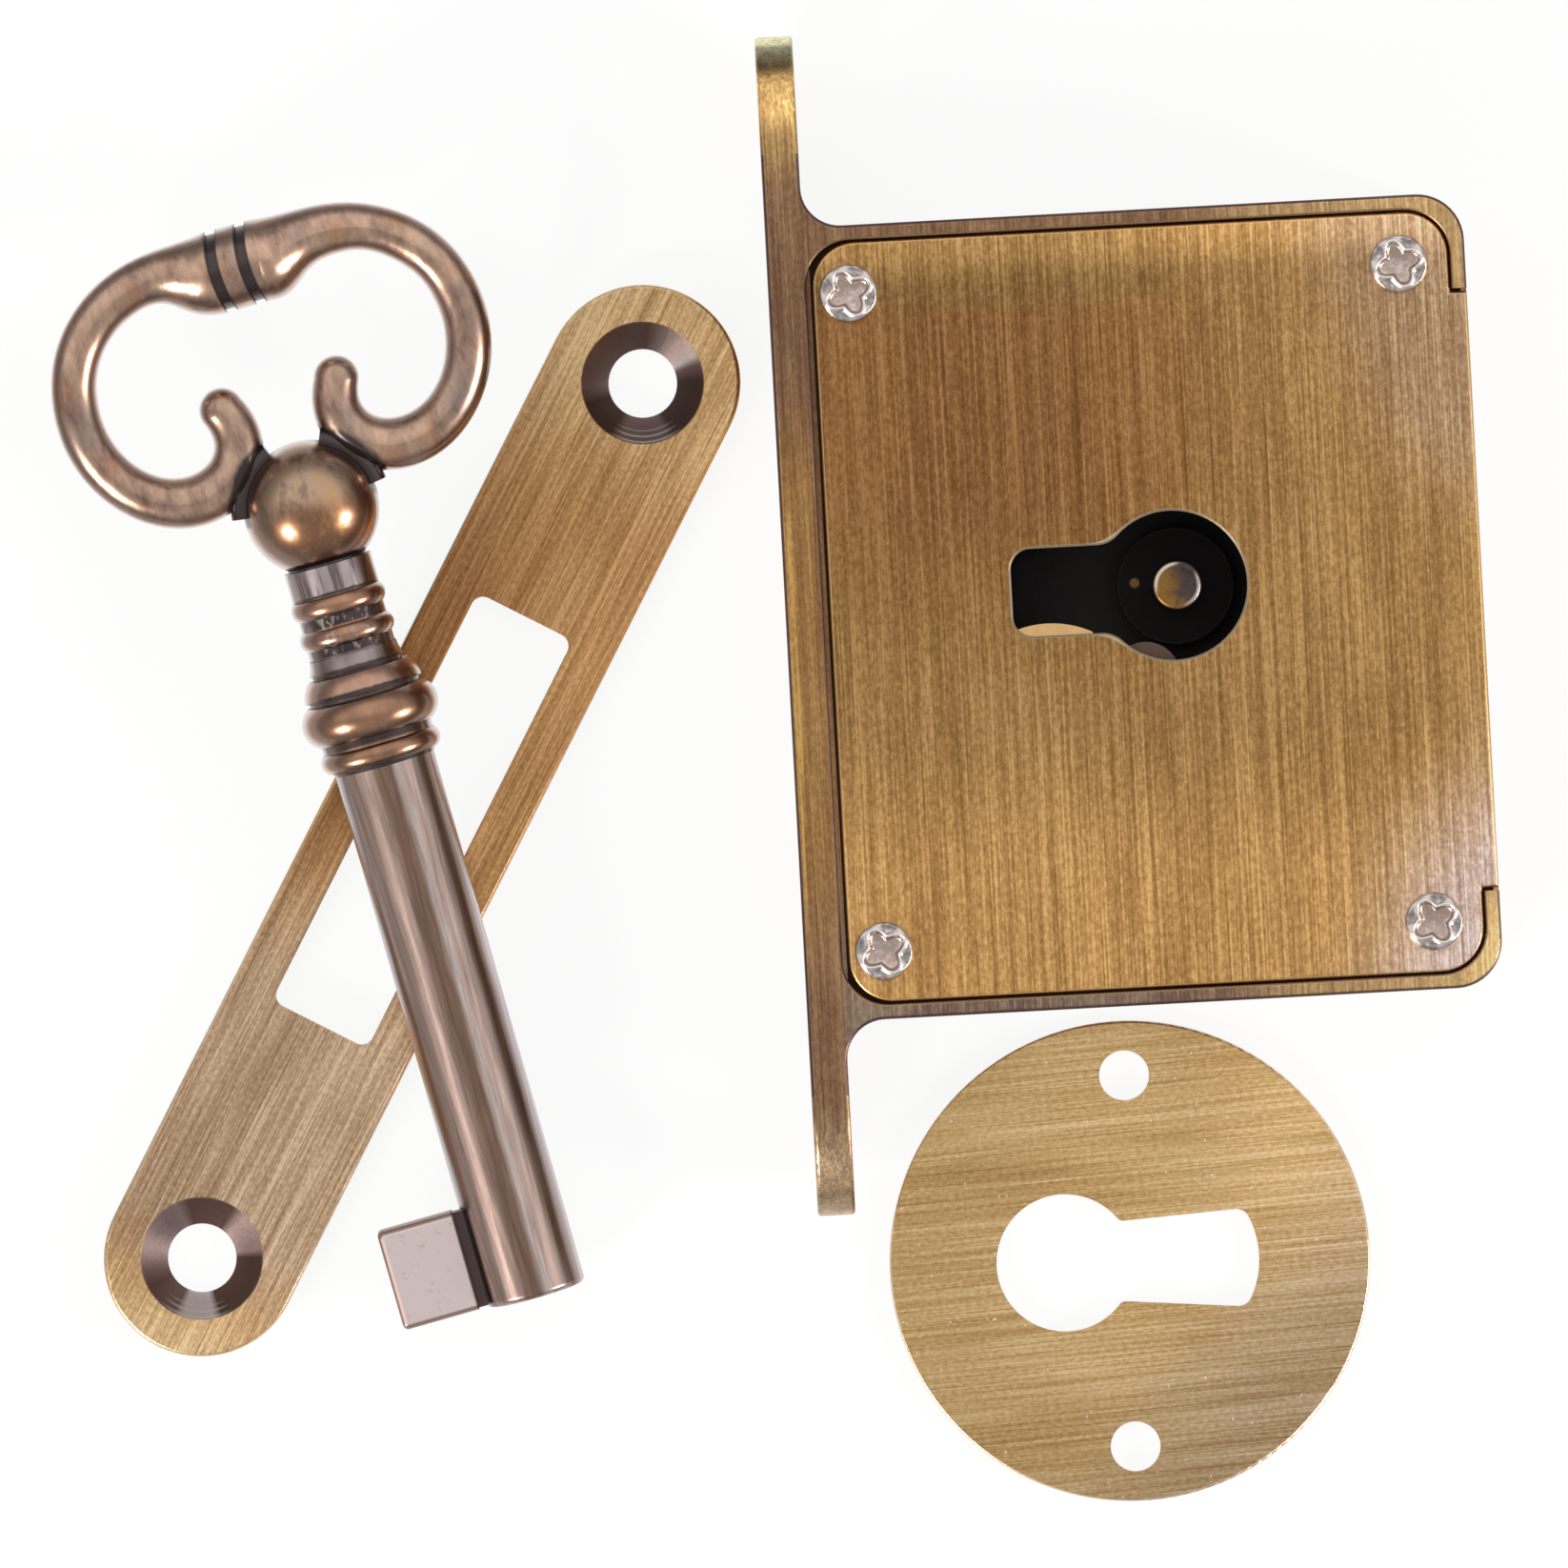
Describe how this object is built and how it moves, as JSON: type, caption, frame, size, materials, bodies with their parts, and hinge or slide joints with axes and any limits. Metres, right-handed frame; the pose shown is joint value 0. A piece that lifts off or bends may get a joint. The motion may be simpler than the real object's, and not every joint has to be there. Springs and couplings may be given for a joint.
{
  "type": "drawer lock",
  "caption": "Mortice furniture lock with a flat forend, key-driven bolt and lever, rounded striking plate, ornate barrel key and round keyhole plate.",
  "frame": {"origin": "on the back of the lock case, on the axis of the key pin; the loose pieces lie on the same plane", "axes": "+X from the forend into the case, +Y along the forend towards its longer end above the key pin, +Z from the back of the case out through its cover, along the key pin"},
  "size_m": [0.0904, 0.0948, 0.0132],
  "materials": {
    "antique_brass_casting": "die casting with an antique brass finish",
    "brushed_antique_brass": "brushed sheet, darkened brass finish",
    "plain_brass": "stamped, unpolished",
    "bronzed_key": "cast, bronzed and rubbed back",
    "pale_nickel": "satin, slightly worn",
    "nickelled_steel": "nickel plated",
    "plain_steel": "drawn wire or strip, plain"
  },
  "bodies": {
    "lock_case": {"case": "antique_brass_casting", "cover": "brushed_antique_brass", "cover_screws": "nickelled_steel", "key_pin": "plain_steel", "guide_post": "plain_steel", "lever_post": "plain_steel", "lever_spring": "plain_steel"},
    "sliding_bolt": {"bolt": "nickelled_steel"},
    "lifting_lever": {"lever": "plain_brass"},
    "striking_plate": {"strike_plate": "brushed_antique_brass"},
    "barrel_key": {"key_bow": "bronzed_key", "key_shank": "bronzed_key", "key_bit": "pale_nickel"},
    "rose": {"keyhole_plate": "brushed_antique_brass"}
  },
  "joints": [
    {"name": "bolt_throw", "type": "slide", "parent": "lock_case", "child": "sliding_bolt", "axis": [-1, 0, 0], "range_m": [0, 0.009]},
    {"name": "lever_lift", "type": "hinge", "parent": "lock_case", "child": "lifting_lever", "pos_m": [0.0146, -0.0095, 0.01015], "axis": [0, 0, 1], "range_deg": [-1.9, 9.5], "stiffness_Nm_per_rad": 0.38, "deforming": ["lever_spring"]},
    {"name": "strike_lift", "type": "slide", "parent": "lock_case", "child": "striking_plate", "axis": [0, 0, 1], "range_m": [0, 0.04]},
    {"name": "key_lift", "type": "slide", "parent": "striking_plate", "child": "barrel_key", "axis": [0, 0, 1], "range_m": [0, 0.04]},
    {"name": "keyhole_plate_lift", "type": "slide", "parent": "lock_case", "child": "rose", "axis": [0, 0, 1], "range_m": [0, 0.04]}
  ]
}
